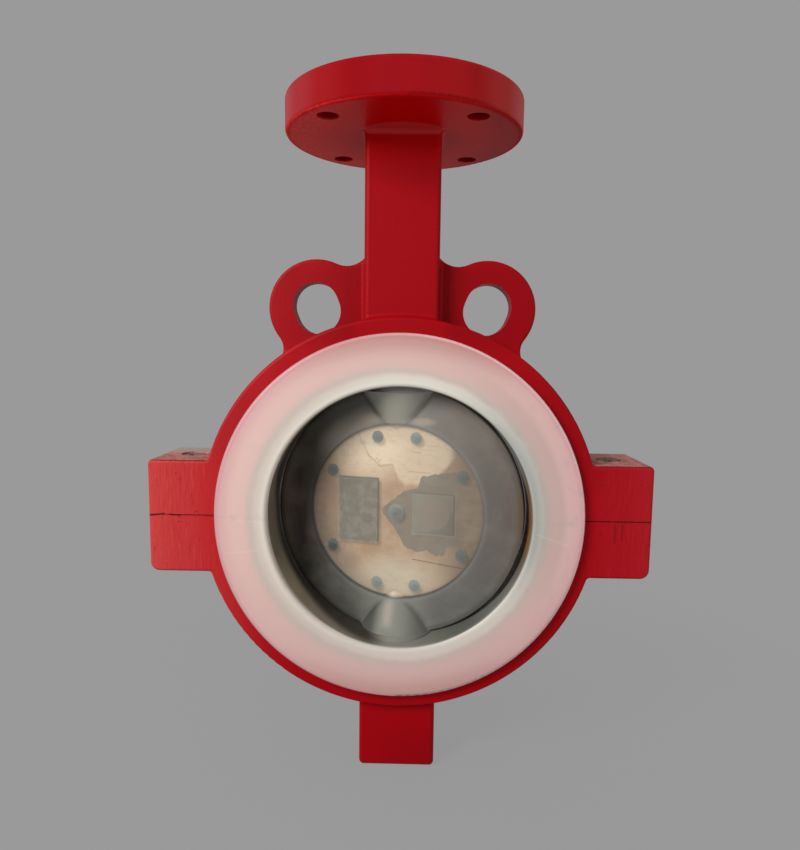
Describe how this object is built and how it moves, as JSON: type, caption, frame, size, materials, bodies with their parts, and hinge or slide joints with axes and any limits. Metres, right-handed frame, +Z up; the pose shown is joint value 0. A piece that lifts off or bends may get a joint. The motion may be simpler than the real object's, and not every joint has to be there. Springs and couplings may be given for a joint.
{
  "type": "lined butterfly valve",
  "caption": "Wafer butterfly valve with a fluoropolymer-lined round bore, a coated disc standing slightly open on a bare square-ended shaft, bolting ears and an actuator flange.",
  "frame": {"origin": "centre of the pipe bore, where the shaft axis crosses the middle of the body", "axes": "+Z up the shaft to the actuator flange; Y along the pipe, the side seen in the picture at -Y; +X to the right there"},
  "size_m": [0.268, 0.125, 0.382],
  "materials": {
    "red_paint": "thick brushed gloss paint over cast iron",
    "screw_steel": "zinc-plated steel",
    "liner_polymer": "moulded milky fluoropolymer",
    "backing_rubber": "moulded elastomer",
    "stainless": "turned stainless steel",
    "seal_rubber": "smooth rubber",
    "bush_bronze": "sintered bronze",
    "packing_polymer": "moulded fluoropolymer",
    "stem_metal": "machined stainless steel",
    "disc_polymer": "moulded translucent fluoropolymer"
  },
  "bodies": {
    "body": {"upper_body": "red_paint", "lower_body": "red_paint", "body_screws": "screw_steel", "seat_liner": "liner_polymer", "backing_segments": "backing_rubber", "upper_pressure_ring": "stainless", "lower_pressure_ring": "stainless", "upper_collar_ring": "seal_rubber", "lower_collar_ring": "seal_rubber", "upper_disc_springs": "stainless", "lower_disc_springs": "stainless", "neck_lower_bush": "bush_bronze", "neck_upper_bush": "bush_bronze", "lower_bush": "bush_bronze", "thrust_washer": "bush_bronze", "packing_base_ring": "stainless", "stem_packing": "packing_polymer", "gland_ring": "stainless", "gland_inner_ring": "seal_rubber", "gland_outer_ring": "seal_rubber", "retaining_ring": "screw_steel"},
    "disc": {"disc_stem": "stem_metal", "disc_lining": "disc_polymer"}
  },
  "joints": [
    {"name": "disc_turn", "type": "hinge", "parent": "body", "child": "disc", "pos_m": [0, 0, 0], "axis": [0, 0, -1], "range_deg": [-13.2, 76.8]}
  ]
}
